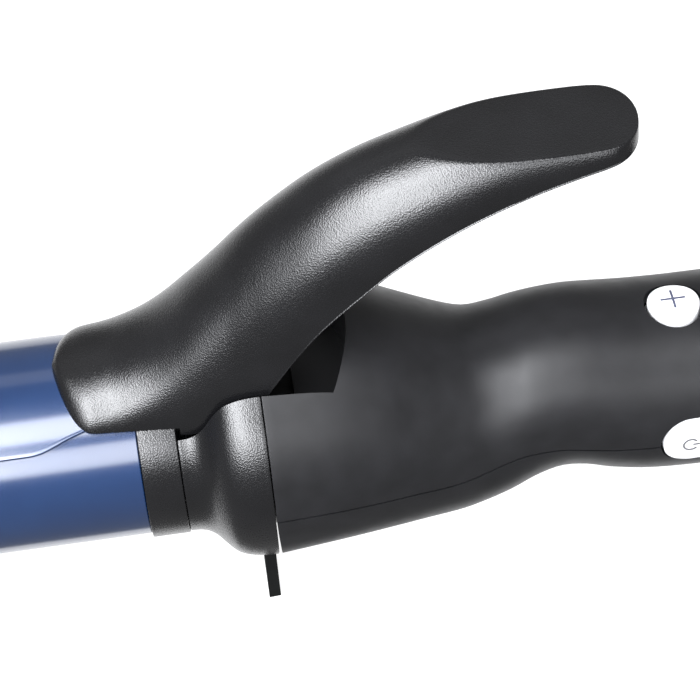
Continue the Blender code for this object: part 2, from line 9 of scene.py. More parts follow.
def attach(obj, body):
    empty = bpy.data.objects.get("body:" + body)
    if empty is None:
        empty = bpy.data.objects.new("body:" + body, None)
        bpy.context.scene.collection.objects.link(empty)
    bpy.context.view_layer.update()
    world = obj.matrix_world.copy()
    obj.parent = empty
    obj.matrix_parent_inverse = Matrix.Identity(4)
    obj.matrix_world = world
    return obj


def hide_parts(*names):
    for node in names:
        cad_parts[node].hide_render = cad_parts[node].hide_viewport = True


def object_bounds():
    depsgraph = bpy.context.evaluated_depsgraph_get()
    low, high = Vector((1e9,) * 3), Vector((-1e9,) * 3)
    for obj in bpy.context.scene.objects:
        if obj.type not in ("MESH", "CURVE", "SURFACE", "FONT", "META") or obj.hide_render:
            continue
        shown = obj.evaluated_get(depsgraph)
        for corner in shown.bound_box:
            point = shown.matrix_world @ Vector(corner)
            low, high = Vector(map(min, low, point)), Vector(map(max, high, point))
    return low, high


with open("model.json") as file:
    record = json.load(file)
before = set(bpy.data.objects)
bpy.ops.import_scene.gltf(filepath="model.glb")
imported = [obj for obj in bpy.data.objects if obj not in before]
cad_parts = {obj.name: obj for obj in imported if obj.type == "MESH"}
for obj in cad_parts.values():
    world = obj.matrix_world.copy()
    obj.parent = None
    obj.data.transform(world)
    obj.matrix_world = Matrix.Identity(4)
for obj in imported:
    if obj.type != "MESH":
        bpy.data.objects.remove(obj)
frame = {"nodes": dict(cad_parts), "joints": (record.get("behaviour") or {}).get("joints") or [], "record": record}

CAD_LOW, CAD_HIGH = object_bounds()

# ---------------------------------------------------------------- the wand's own axis frame
# Shapes are worked out in millimetres: +X along the wand towards the handle, X = 0 at the seam
# between the front cone and the handle, +Z to the clip.  PLACE carries them to the shared frame.
MM = 0.001
PIVOT = (-6.0, 11.5)                 # lever pin, x and z
JOINTS = {joint["name"]: joint for joint in frame["joints"]}
ALONG = JOINTS["cord_swivel_turn"]["axis"]
TILT = math.atan2(-ALONG[2], ALONG[0])
PLACE = (Matrix.Translation(JOINTS["clip_hinge"]["pos_m"]) @ Matrix.Rotation(TILT, 4, "Y")
         @ Matrix.Translation((-PIVOT[0] * MM, 0, -PIVOT[1] * MM)))

# ---------------------------------------------------------------- sizes in millimetres
# They follow the CAD, with finer seams between barrel, ring, cone and handle.  A name with _X, _Y or
# _Z is a place along that axis, and a name with _R is a radius.
GAP = 0.3                            # between the tip and the barrel, and at the handle's end

# barrel and tip
BARREL_R, BARREL_WALL, BARREL_X, BARREL_EASE = 16.0, 1.0, (-165.0, -19.25), 0.25
TIP_X, TIP_NOSE, TIP_FLAT_R = -188.0, 10.9, 5.0
TIP_SPIGOT, TIP_BORE, TIP_WALL = 7.9, 11.5, 2.4
TIP_HOLLOW_X, TIP_HOLLOW_R = TIP_X + 9, 6.0

# ring and front cone
RING_R, RING_BORE, RING_X, RING_EASE = 16.7, 14.0, (-19.15, -13.35), 0.16
NECK_R, CONE_X = 16.5, (-13.25, -0.05)
CONE_FACE_R, CONE_MOUTH, CONE_BORE = 15.9, 8.5, 14.6
CONE_WEB_X, SPIGOT_R, SPIGOT_END = (-12.8, -10.6), 17.1, 4.9
SLOT_Y, SLOT_FLOOR, NOTCH_X, NOTCH_FLOOR = 12.45, 8.4, -11.9, 11.0
CONE_PIN_ROOM, CONE_PIN_Y = 1.8, -13.4
STAND_PIVOT, STAND_ROOF, STAND_PIN_ROOM = (-1.45, -18.4), -16.4, 1.05
LUG_X, LUG_Y, LUG_Z = (-3.1, -0.3), (6.45, 8.55), (-20.1, -15.6)

# handle
SHELL_X, SHELL_RIM, SHELL_INSET, WALL, SEAM = 0.12, 0.14, 0.02, 2.2, 0.2
TUB_X, TUB_Y, TUB_FLOOR, TUB_INSET = (5.4, 17.0), 14.0, 8.0, 0.5
RECESS_X, RECESS_FLOOR = -4.0, 9.7
RECESS_END = [(10.9 + 3.5 * math.cos(y / SLOT_Y * math.pi / 2) ** 0.9, y)
              for y in (SLOT_Y * (k / 16 - 1) for k in range(33))]
WINDOW_X, WINDOW_Y = (91.7, 112.3), 6.8
SCREW_X, SCREW_SEAT_R, SCREW_SEAT_DEPTH = (40.0, 121.0), 2.7, 3.4
STAND_Y, STAND_ROOM_Y, STAND_ROOM_R = 14.4, 15.0, 3.0
FRONT_SLOPE = ((-1, -3), (0.1, -3), (0.85, -24), (-1, -24))    # x and z, off the lower shell's front

# tail
TAIL_X, TAIL_R, TAIL_Z, TAIL_LENGTH = 145.3, 15.4, -2.0, 8.2
TAIL_FACE_R, TAIL_HOLE, TAIL_SEAT, TAIL_SEAT_DEPTH = 10.0, 6.4, 10.4, 4.9
GLAND = ((146.0, 9.4), (149.6, 9.4), (149.6, 5.9), (156.0, 5.9), (163.8, 5.2), (164.6, 4.7), (164.6, 3.8),
         (146.0, 3.8))               # x and radius

# keys, and the marks printed on them
KEY_PROUD, KEY_EASE, KEY_FLANGE, STEM_R = 0.4, 0.45, 1.0, 1.6
BUTTON_R, BUTTON_X, BUTTON_ROOM, BUTTON_BASE_Z = 4.1, (65.6, 78.8), 0.55, 9.0
BUTTON_FLANGE_Z, BUTTON_STEM_Z = (8.3, 9.2), (4.9, 8.6)
SIDE_BUTTON, SIDE_ROOM, SIDE_BASE_Y = (61.3, 79.3, -2.6, 4.4), 0.4, -11.0    # x, x, centre z, half height
SIDE_FLANGE_Y, SIDE_STEM_Y, SIDE_STEM_Z = (-11.25, -10.45), (-10.8, -9.9), 1.4
MARK_LONG, MARK_THICK, MARK_Y = 1.95, 0.19, 0.5                # half length, half width, place
GLYPH_R, GLYPH_WIDTH, GLYPH_X = 1.15, 0.30, 4.2
FILM_SUNK, FILM_PROUD, GLYPH_PROUD = 0.06, 0.035, 0.08

# clip and lever
CLIP_R, CLIP_T = 16.25, 0.6
CLIP_LIFT, CLIP_LIFT_X, CLIP_LIFT_LENGTH = 1.8, -156, 8.6      # the front end's upward curl
PAD_Z, LEVER_WALL, PIN_ROOM = 53.7, 2.1, 1.75
SADDLE_R, SADDLE_X = 17.12, -12.6
EAR_R, EAR_Y, POST_LOW, POST_HIGH = 3.95, (9.7, 11.75), (0.7, -2.1, 21.0), (2.5, 2.1, 38.2)
BEAD, LEAST_BEAD = 0.11, 0.02
ARCH_POWER = 2.1                     # 2 is an ellipse, and more is squarer

# Stations along the wand: the handle's (x, radius, centre z), then (x, z) or (x, half width).
HANDLE = ((0, 22.0, 0.0), (10, 21.1, 0.0), (18, 19.7, -0.9), (24, 18.2, -2.2), (30, 16.7, -3.5),
          (34, 15.7, -3.7), (38, 15.2, -2.6), (42, 14.7, -0.9), (46, 14.4, 0.1), (50, 14.6, 0.0),
          (54, 15.0, -0.9), (60, 15.3, -1.9), (68, 15.4, -2.4), (90, 15.5, -2.6),
          (120, 15.9, -2.4), (145, 15.4, -2.0))
PARTING = ((0, -0.3), (10, -0.8), (20, -1.8), (28, -3.1), (33, -2.9), (39, -1.3), (44, -1.4),
           (50, -2.5), (60, -3.0), (90, -2.8), (150, -2.0))
LEVER_W = ((-30, 11.0), (-25, 11.2), (-14, 11.6), (-6, 12.0), (2, 11.8), (10, 11.4), (20, 10.6),
           (31, 9.7), (40, 9.0), (50, 8.3), (53, 8.0))
LEVER_LOW = ((-30, 11.5), (-4, 11.5), (0, 15.4), (2, 18.6), (6, 24.3), (10, 29.0), (16, 34.3),
             (22, 38.9), (31, 43.9), (40, 47.5), (48, 49.8), (54, 51.0), (58.4, 51.6))
LEVER_TOP = ((-30.6, 17.6), (-29.5, 18.4), (-27, 18.9), (-22, 20.0), (-18, 21.9), (-15, 23.9),
             (-12, 26.5), (-9, 29.5), (-6, 32.5), (0, 38.7), (6, 43.5), (12, 47.6), (18, 50.7),
             (24, 52.9), (32, 55.5), (40, 57.3), (50, 57.2), (58.4, 56.0))
CLIP_REACH = ((-165, 14.0), (-164, 26.0), (-161, 36.0), (-156, 43.0), (-150, 46.0), (-36, 46.5),
              (-33.5, 45.5), (-29, 39.5), (-25, 35.5), (-21, 34.0))    # half angle in degrees
NOSE_X, NOSE_LEN = -30.6, 5.6
LEVER_TIP_X, LEVER_TIP_LEN = 58.4, 6.4


# ---------------------------------------------------------------- helpers
def smooth(table, x, column=1):
    """Value at x of a smooth curve through the table's stations."""
    if x <= table[0][0]:
        return table[0][column]
    if x >= table[-1][0]:
        return table[-1][column]
    i = max(k for k in range(len(table) - 1) if table[k][0] <= x)
    slope = []
    for k in (i, i + 1):
        a, b = table[max(k - 1, 0)], table[min(k + 1, len(table) - 1)]
        slope.append((b[column] - a[column]) / (b[0] - a[0]))
    (x0, x1), (y0, y1) = (table[i][0], table[i + 1][0]), (table[i][column], table[i + 1][column])
    h = x1 - x0
    t = (x - x0) / h
    return ((2 * t**3 - 3 * t**2 + 1) * y0 + (t**3 - 2 * t**2 + t) * h * slope[0]
            + (3 * t**2 - 2 * t**3) * y1 + (t**3 - t**2) * h * slope[1])


def spread(start, end, step):
    """Even stations from start to end, about step apart."""
    count = max(1, round((end - start) / step))
    return [start + (end - start) * k / count for k in range(count + 1)]


def vertex(bm, *place):
    return bm.verts.new(Vector(place) * MM)


def skin(bm, rows):
    """Joins each row of vertices to the next in a tube, and closes the two ends."""
    for a, b in zip(rows, rows[1:]):
        for k in range(len(a)):
            n = (k + 1) % len(a)
            bm.faces.new((a[k], a[n], b[n], b[k]))
    bm.faces.new(rows[0])
    bm.faces.new(list(reversed(rows[-1])))


def add_object(name, bm):
    bmesh.ops.recalc_face_normals(bm, faces=bm.faces)
    mesh = bpy.data.meshes.new(name)
    bm.to_mesh(mesh)
    bm.free()
    obj = bpy.data.objects.new(name, mesh)
    bpy.context.scene.collection.objects.link(obj)
    return obj


def box(name, low, high):
    bm = bmesh.new()
    bmesh.ops.create_cube(bm, size=1.0)
    for vert in bm.verts:
        vert.co = Vector([(lo + hi) / 2 + v * (hi - lo) for lo, hi, v in zip(low, high, vert.co)]) * MM
    return add_object(name, bm)


def rod(name, radius, start, end, segments=64):
    bm = bmesh.new()
    start, end = Vector(start), Vector(end)
    turn = (end - start).to_track_quat("Z", "Y").to_matrix().to_4x4()
    bmesh.ops.create_cone(bm, cap_ends=True, segments=segments, radius1=radius * MM, radius2=radius * MM,
                          depth=(end - start).length * MM,
                          matrix=Matrix.Translation((start + end) / 2 * MM) @ turn)
    return add_object(name, bm)


def filleted(profile, radius, count=5):
    """The closed outline with each corner rounded, by less where a side is short."""
    out = []
    size = len(profile)
    for k, point in enumerate(profile):
        before = Vector(profile[k - 1]) - Vector(point)
        after = Vector(profile[(k + 1) % size]) - Vector(point)
        here = Vector(point)
        turn = math.pi - before.angle(after, math.pi)
        cut_back = min(radius * math.tan(turn / 2), 0.45 * before.length, 0.45 * after.length)
        if turn < 0.3 or point[1] == 0:
            out.append(point)
            continue
        start, end = here + before.normalized() * cut_back, here + after.normalized() * cut_back
        for j in range(count + 1):
            t = j / count
            place = start * (1 - t) ** 2 + here * 2 * t * (1 - t) + end * t**2
            out.append((place[0], place[1]))
    return out


def turned(name, profile, steps=160, centre_z=0.0):
    """A body of revolution from a closed (x, radius) outline."""
    bm = bmesh.new()
    rows = []
    for x, radius in profile:
        if radius == 0:
            rows.append([vertex(bm, x, 0, centre_z)] * steps)
            continue
        angles = (2 * math.pi * k / steps for k in range(steps))
        rows.append([vertex(bm, x, radius * math.sin(a), centre_z + radius * math.cos(a)) for a in angles])
    for a, b in zip(rows, rows[1:] + rows[:1]):
        if a[0] is a[1] and b[0] is b[1]:
            continue
        for k in range(steps):
            n = (k + 1) % steps
            bm.faces.new(list(dict.fromkeys((a[k], a[n], b[n], b[k]))))
    return add_object(name, bm)


def loft(name, rings):
    """A closed body through a row of rings that have the same number of points."""
    bm = bmesh.new()
    skin(bm, [[vertex(bm, *p) for p in ring] for ring in rings])
    return add_object(name, bm)


def prism(name, outline, low, high, across="Y"):
    """The outline, in x and z or in x and y, pushed through from low to high."""
    return loft(name, [[(a, level, b) if across == "Y" else (a, b, level) for a, b in outline]
                       for level in (low, high)])


def stadium(x0, x1, centre, half, corners=24):
    """A slot's outline with round ends."""
    points = []
    for cx, side in ((x1 - half, 1), (x0 + half, -1)):
        for k in range(corners + 1):
            angle = math.pi * k / corners - math.pi / 2
            points.append((cx + side * half * math.cos(angle), centre + side * half * math.sin(angle)))
    return points


def carve(obj, steps):
    """Applies (operation, tool) pairs in order and removes the tools."""
    for operation, tool in steps:
        mod = obj.modifiers.new(tool.name, "BOOLEAN")
        mod.operation, mod.object, mod.solver = operation, tool, "EXACT"
    bpy.context.view_layer.update()
    graph = bpy.context.evaluated_depsgraph_get()
    mesh = bpy.data.meshes.new_from_object(obj.evaluated_get(graph))
    obj.modifiers.clear()
    obj.data = mesh
    for _, tool in steps:
        bpy.data.objects.remove(tool, do_unlink=True)
    return obj


# what carve does with each tool
def cuts(*tools):
    return [("DIFFERENCE", tool) for tool in tools]


def joins(*tools):
    return [("UNION", tool) for tool in tools]


def keeps(*tools):
    return [("INTERSECT", tool) for tool in tools]


def settle(obj, body, material, replaced=(), sharp=32.0):
    """Places a finished piece in the shared frame, shades it, and says what it rides on and replaces."""
    obj.data.transform(PLACE)
    obj.data.materials.clear()
    obj.data.materials.append(material)
    obj.data.shade_smooth()
    obj.data.set_sharp_from_angle(angle=math.radians(sharp))
    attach(obj, body)
    if replaced:
        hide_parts(*replaced)


# ---------------------------------------------------------------- materials
NOISE_LOW, NOISE_HIGH = 0.3, 0.7     # the part of a noise's range that the looks use
PIT_MM, PIT_DEPTH_MM = 0.23, 0.026


class Nodes:
    """A short way to write a node tree round one Principled shader."""

    def __init__(self, name, roughness, metallic=0.0, **inputs):
        self.mat = bpy.data.materials.new(name)
        self.mat.use_nodes = True
        self.tree = self.mat.node_tree
        self.shader = self.tree.nodes["Principled BSDF"]
        self.shader.inputs["Roughness"].default_value = roughness
        self.shader.inputs["Metallic"].default_value = metallic
        for key, value in inputs.items():
            self.shader.inputs[key.replace("_", " ")].default_value = value
        self.coords = self.tree.nodes.new("ShaderNodeTexCoord").outputs["Object"]

    def add(self, kind, values=None, **settings):
        node = self.tree.nodes.new(kind)
        for key, value in settings.items():
            setattr(node, key, value)
        for key, value in (values or {}).items():
            if isinstance(value, bpy.types.NodeSocket):
                self.tree.links.new(value, node.inputs[key])
            else:
                node.inputs[key].default_value = value
        return node

    def noise(self, feature_mm, detail, stretch=(1, 1, 1)):
        """Noise whose grains are about feature_mm across, stretched along an axis if asked."""
        place = self.add("ShaderNodeMapping", {"Vector": self.coords, "Scale": stretch})
        return self.add("ShaderNodeTexNoise", {"Vector": place.outputs[0], "Scale": 1 / (feature_mm * MM),
                                               "Detail": detail}).outputs["Fac"]

    def ramp(self, fac, low, high, a, b):
        node = self.add("ShaderNodeMapRange", {"Value": fac, "From Min": low, "From Max": high,
                                               "To Min": a, "To Max": b})
        return node.outputs[0]

    def colour(self, fac, a, b):
        node = self.add("ShaderNodeMix", {"Factor": fac}, data_type="RGBA")
        node.inputs["A"].default_value = (*a, 1)
        node.inputs["B"].default_value = (*b, 1)
        self.tree.links.new(node.outputs["Result"], self.shader.inputs["Base Color"])

    def rough(self, socket):
        self.tree.links.new(socket, self.shader.inputs["Roughness"])

    def bump(self, socket, height_mm, strength):
        node = self.add("ShaderNodeBump", {"Height": socket, "Distance": height_mm * MM,
                                           "Strength": strength})
        self.tree.links.new(node.outputs["Normal"], self.shader.inputs["Normal"])

    def vary(self, feature_mm, detail, a, b):
        """The base colour drifting between a and b in patches of about feature_mm."""
        self.colour(self.spans(self.noise(feature_mm, detail), 0.0, 1.0), a, b)

    def spans(self, fac, a, b):
        """Takes the middle of a noise's range to a and b."""
        return self.ramp(fac, NOISE_LOW, NOISE_HIGH, a, b)


def grained_black():
    n = Nodes("black_grain", 0.23, Specular_IOR_Level=0.5)
    pits = n.add("ShaderNodeTexVoronoi", {"Vector": n.coords, "Scale": 1 / (PIT_MM * MM)}).outputs["Distance"]
    n.vary(9.0, 2.0, (0.0026, 0.0026, 0.0030), (0.0042, 0.0042, 0.0048))
    n.rough(n.ramp(pits, 0.1, 0.7, 0.20, 0.28))
    n.bump(pits, PIT_DEPTH_MM, 1.0)
    return n.mat


def soft_black():
    n = Nodes("black_soft", 0.42, Specular_IOR_Level=0.23)
    n.vary(5.0, 4.0, (0.0072, 0.0072, 0.0078), (0.0100, 0.0100, 0.0110))
    n.rough(n.spans(n.noise(2.4, 3.0), 0.39, 0.45))
    n.bump(n.noise(0.3, 2.0), 0.012, 0.7)
    return n.mat


def plain_black():
    n = Nodes("black_plain", 0.4, Specular_IOR_Level=0.2)
    n.vary(3.0, 3.0, (0.0022, 0.0024, 0.0024), (0.0036, 0.0040, 0.0040))
    n.rough(n.spans(n.noise(1.2, 3.0), 0.35, 0.45))
    n.bump(n.noise(0.3, 2.0), 0.012, 0.5)
    return n.mat


def blue_metal():
    """A dark blue, slightly metallic base under a full gloss coat, faintly drawn along the barrel."""
    n = Nodes("blue_metal", 0.5, 0.25, Specular_IOR_Level=0.0, Coat_Weight=1.0, Coat_Roughness=0.17,
              Coat_IOR=2.0)
    drawn = n.noise(0.5, 4.0, (0.06, 1, 1))
    n.vary(7.0, 3.0, (0.0030, 0.0165, 0.060), (0.0040, 0.0200, 0.069))
    n.rough(n.spans(drawn, 0.46, 0.54))
    n.bump(drawn, 0.004, 0.35)
    return n.mat


def white_key():
    n = Nodes("white_key", 0.32, Coat_Weight=0.25)
    n.vary(3.0, 3.0, (0.66, 0.66, 0.67), (0.72, 0.72, 0.73))
    n.rough(n.spans(n.noise(0.8, 2.0), 0.28, 0.36))
    n.bump(n.noise(0.4, 2.0), 0.004, 0.4)
    return n.mat


def key_print(name, a, b):
    n = Nodes(name, 0.5, Specular_IOR_Level=0.2)
    n.colour(n.noise(0.5, 2.0), a, b)
    n.bump(n.noise(0.2, 2.0), 0.003, 0.4)
    return n.mat


def metal(name, a, b, roughness, feature=0.5):
    n = Nodes(name, roughness, 1.0)
    n.colour(n.noise(feature * 4, 3.0), a, b)
    n.rough(n.spans(n.noise(feature, 4.0, (0.1, 1, 1)), roughness - 0.06, roughness + 0.08))
    n.bump(n.noise(feature, 4.0, (0.1, 1, 1)), 0.004, 0.4)
    return n.mat


def plain(name, a, b, roughness, feature=0.8, height=0.01):
    n = Nodes(name, roughness)
    n.vary(feature * 3, 3.0, a, b)
    n.rough(n.spans(n.noise(feature, 2.0), roughness - 0.06, roughness + 0.06))
    n.bump(n.noise(feature, 3.0), height, 0.5)
    return n.mat


GRAIN, SOFT, PLAIN, BLUE, KEY = grained_black(), soft_black(), plain_black(), blue_metal(), white_key()
PRINT = key_print("key_print", (0.048, 0.052, 0.085), (0.066, 0.071, 0.110))
PALE_PRINT = key_print("pale_print", (0.085, 0.085, 0.090), (0.120, 0.120, 0.125))


# ---------------------------------------------------------------- barrel, tip, ring and cone
def build_barrel():
    front, back = BARREL_X
    inner = BARREL_R - BARREL_WALL
    outline = [(front, BARREL_R), (back, BARREL_R), (back, inner), (front, inner)]
    settle(turned("barrel", filleted(outline, BARREL_EASE)), "wand", BLUE, ["barrel_tube"])


def build_tip():
    front, seat = TIP_X + 0.1, BARREL_X[0] - GAP
    spigot, end = BARREL_R - BARREL_WALL - GAP, seat + TIP_SPIGOT
    # a quarter ellipse over the nose, then a straight grip
    nose = [(front + TIP_NOSE * (1 - math.cos(a)), TIP_FLAT_R + (BARREL_R - TIP_FLAT_R) * math.sin(a))
            for a in (math.pi / 2 * k / 18 for k in range(19))]
    rim = [(seat - 0.3, BARREL_R), (seat, BARREL_R - 0.3), (seat, spigot), (end, spigot)]
    hollow = [(end, TIP_BORE), (TIP_HOLLOW_X, TIP_BORE), (TIP_X + TIP_WALL, TIP_HOLLOW_R),
              (TIP_X + TIP_WALL, 0.0)]
    settle(turned("insulated_tip", [(front, 0.0)] + nose + rim + hollow), "wand", GRAIN,
           ["cool_tip"])


def build_ring():
    front, back = RING_X
    outline = [(front, RING_R), (back, RING_R), (back, RING_BORE), (front, RING_BORE)]
    settle(turned("barrel_ring", filleted(outline, RING_EASE)), "wand", GRAIN, ["heat_ring"])


def build_cone():
    front, back = CONE_X
    table = ((front, NECK_R), (-12.4, 16.5), (-11.4, 16.6), (-10.2, 17.0), (-9.2, 17.7), (-8.2, 18.8),
             (-7.3, 19.8), (-6.3, 20.7), (-5.1, 21.3), (-3.6, 21.7), (-2.0, 21.9), (back, 21.98))
    flare = [(front, NECK_R - 0.25), (front + 0.08, NECK_R - 0.07), (front + 0.25, NECK_R)]
    flare += [(x, smooth(table, x)) for x in spread(front + 0.5, back - 0.25, 0.35)]
    flare += [(back - 0.05, 21.93), (back, 21.83)]
    web_front, web_back = CONE_WEB_X
    inner = [(back, SPIGOT_R), (SPIGOT_END, SPIGOT_R), (SPIGOT_END, CONE_BORE), (web_back, CONE_BORE),
             (web_back, CONE_MOUTH), (web_front, CONE_MOUTH), (web_front, CONE_FACE_R),
             (front, CONE_FACE_R)]
    cone = turned("flared_cone", flare + inner)
    # the lever's slot, room for the stand, and the front edge cut back beside the lever
    steps = cuts(box("slot", (-16, -SLOT_Y, SLOT_FLOOR), (6, SLOT_Y, 30)),
                 box("under", (-16, -STAND_Y, -30), (0.0, STAND_Y, STAND_ROOF)),
                 box("notch", (-16, -30, NOTCH_FLOOR), (NOTCH_X, 30, 30)))
    for side in (-1, 1):
        low, high = sorted(side * y for y in LUG_Y)
        steps += joins(box(f"lug_{side}", (LUG_X[0], low, LUG_Z[0]), (LUG_X[1], high, LUG_Z[1])))
    (stand_x, stand_z), (pin_x, pin_z) = STAND_PIVOT, PIVOT
    steps += cuts(rod("stand_hole", STAND_PIN_ROOM, (stand_x, -12, stand_z), (stand_x, 12, stand_z)),
                  rod("pin_hole", CONE_PIN_ROOM, (pin_x, CONE_PIN_Y, pin_z), (pin_x, 25, pin_z)))
    settle(carve(cone, steps), "wand", GRAIN, ["front_cone"])


# ---------------------------------------------------------------- handle
def handle_ring(x, inset, count):
    radius, centre = smooth(HANDLE, x, 1) - inset, smooth(HANDLE, x, 2)
    angles = (2 * math.pi * k / count for k in range(count))
    return [(x, radius * math.sin(a), centre + radius * math.cos(a)) for a in angles]


def handle_skin(name, inset, start, end, count, step, rim=0.0):
    """The handle's outer or inner surface as a loft, its front edge eased by rim."""
    rings = []
    if rim:
        rings = [handle_ring(start + rim * (1 - math.cos(a)), inset + rim * (1 - math.sin(a)), count)
                 for a in (math.pi / 2 * k / 5 for k in range(5))]
    rings += [handle_ring(x, inset, count) for x in spread(start + rim, end, step)]
    return loft(name, rings)


def handle_side(name, upper):
    """All the room above or below the parting line, which is left open by twice SEAM."""
    offset, far = (SEAM, 40) if upper else (-SEAM, -40)
    line = [(x, smooth(PARTING, x) + offset) for x in spread(-6, 156, 2)]
    return prism(name, line + [(156, far), (-6, far)], -40, 40)


def upper_shell_steps():
    low, high = TUB_X
    tub = carve(box("tub", (low, -TUB_Y, TUB_FLOOR), (high, TUB_Y, 30)),
                keeps(handle_skin("tub_skin", TUB_INSET, -3.0, 40.0, 96, 2.0)))
    recess = [(RECESS_X, -SLOT_Y)] + RECESS_END + [(RECESS_X, SLOT_Y)]
    steps = joins(tub) + cuts(prism("recess", recess, RECESS_FLOOR, 40, across="Z"))
    for k, x in enumerate(BUTTON_X):
        steps += cuts(rod(f"key_hole_{k}", BUTTON_R + BUTTON_ROOM, (x, 0, 6), (x, 0, 20), 72))
    return steps + cuts(box("window_hole", (WINDOW_X[0], -WINDOW_Y, 5), (WINDOW_X[1], WINDOW_Y, 20)))


def lower_shell_steps():
    steps = []
    for k, x in enumerate(SCREW_X):
        floor = smooth(HANDLE, x, 2) - smooth(HANDLE, x, 1)
        steps += cuts(rod(f"seat_{k}", SCREW_SEAT_R, (x, 0, floor - 3), (x, 0, floor + SCREW_SEAT_DEPTH)))
    z = STAND_PIVOT[1]
    return steps + cuts(rod("stand_room", STAND_ROOM_R, (0.0, -STAND_ROOM_Y, z), (0.0, STAND_ROOM_Y, z)),
                        prism("front_slope", FRONT_SLOPE, -30, 30))


def build_handle():
    x0, x1, cz, half = SIDE_BUTTON
    for upper, name, node in ((True, "upper_shell", "handle_upper"), (False, "lower_shell", "handle_lower")):
        shell = handle_skin(name, SHELL_INSET, SHELL_X, TAIL_X - GAP - 0.05, 168, 1.25, rim=SHELL_RIM)
        side_hole = stadium(x0 - SIDE_ROOM, x1 + SIDE_ROOM, cz, half + SIDE_ROOM)
        steps = cuts(handle_skin(name + "_inside", WALL, -3.0, TAIL_X + 4.0, 64, 4.0),
                     prism(name + "_side_hole", side_hole, -30, -9))
        steps += upper_shell_steps() if upper else lower_shell_steps()
        steps += keeps(handle_side(name + "_side", upper))
        settle(carve(shell, steps), "wand", SOFT, [node], 38.0)


def build_tail():
    face = TAIL_X + TAIL_LENGTH
    curve = [(TAIL_X, TAIL_R - 0.1)] + [
        (TAIL_X + (TAIL_LENGTH - 0.05) * math.sin(a),
         TAIL_FACE_R + (TAIL_R - TAIL_FACE_R - 0.05) * math.cos(a) ** 0.75)
        for a in (math.pi / 2 * k / 20 for k in range(1, 20))]
    inner = [(face, TAIL_FACE_R), (face, TAIL_HOLE), (TAIL_X + TAIL_SEAT_DEPTH, TAIL_HOLE),
             (TAIL_X + TAIL_SEAT_DEPTH, TAIL_SEAT), (TAIL_X, TAIL_SEAT)]
    settle(turned("end_cap", curve + inner, centre_z=TAIL_Z), "wand", SOFT, ["tail_cap"])
    settle(turned("cord_gland", filleted(GLAND, 0.3), 96, TAIL_Z), "cord_swivel", PLAIN,
           ["swivel_gland"])


# ---------------------------------------------------------------- keys
def crowned(name, outline, across, bottom, crown_radius, crown_centre, sign=1):
    """A cap pushed out of an outline, domed to the handle's curve, with its rim eased.

    A top key's outline is in x and y and its cap rises along z; a side key's is in x and z and its
    cap comes out along -y, with sign -1.
    """
    bm = bmesh.new()
    centre = (sum(p[0] for p in outline) / len(outline), sum(p[1] for p in outline) / len(outline))
    on_top = across == "Z"
    # each step is how far the outline shrinks, and how far below the dome it lies: None is the base
    steps = [(1.0, None)] + [(1 - KEY_EASE * (1 - math.cos(a)) / BUTTON_R, KEY_EASE * (1 - math.sin(a)))
                             for a in (math.pi / 2 * k / 6 for k in range(7))]
    steps += [(s, 0.0) for s in (0.8, 0.6, 0.4, 0.2)]
    rows = []
    for shrink, drop in steps:
        row = []
        for u, v in outline:
            u, v = centre[0] + (u - centre[0]) * shrink, centre[1] + (v - centre[1]) * shrink
            offset = v - (0.0 if on_top else crown_centre)
            dome = math.sqrt(max(crown_radius**2 - offset**2, 0.0)) + (crown_centre if on_top else 0.0)
            level = bottom if drop is None else sign * dome - sign * drop
            row.append(vertex(bm, u, v, level) if on_top else vertex(bm, u, level, v))
        rows.append(row)
    skin(bm, rows)
    return add_object(name, bm)


def mark_on_crown(name, body, spans, radius, centre):
    """A printed mark, as a thin film lying on a top key's crown: spans are x and y ranges."""
    bm = bmesh.new()
    for (xa, xb), (ya, yb) in spans:
        columns = []
        for y in spread(ya, yb, 0.15):
            level = centre + math.sqrt(radius**2 - y**2)
            low, high = level - FILM_SUNK, level + FILM_PROUD
            columns.append([vertex(bm, x, y, z) for x, z in ((xa, low), (xb, low), (xb, high), (xa, high))])
        skin(bm, columns)
    settle(add_object(name, bm), body, PRINT)


def build_top_keys():
    for x, name, node, body in ((BUTTON_X[0], "plus_key_cap", "plus_button", "plus_key"),
                                (BUTTON_X[1], "minus_key_cap", "minus_button", "minus_key")):
        centre, radius = smooth(HANDLE, x, 2), smooth(HANDLE, x, 1) + KEY_PROUD
        ring = [(x + BUTTON_R * math.cos(2 * math.pi * k / 96), BUTTON_R * math.sin(2 * math.pi * k / 96))
                for k in range(96)]
        cap = crowned(name, ring, "Z", BUTTON_BASE_Z, radius, centre)
        flange, stem = ([(x, 0, z) for z in ends] for ends in (BUTTON_FLANGE_Z, BUTTON_STEM_Z))
        cap = carve(cap, joins(rod("flange", BUTTON_R + KEY_FLANGE, *flange), rod("stem", STEM_R, *stem)))
        settle(cap, body, KEY, [node])
        long_y, thin_y = (MARK_Y - MARK_LONG, MARK_Y + MARK_LONG), (MARK_Y - MARK_THICK, MARK_Y + MARK_THICK)
        spans = [((x - MARK_THICK, x + MARK_THICK), long_y)]
        if node == "plus_button":
            spans += [((x - MARK_LONG, x - MARK_THICK), thin_y), ((x + MARK_THICK, x + MARK_LONG), thin_y)]
        mark_on_crown(name.replace("cap", "mark"), body, spans, radius, centre)


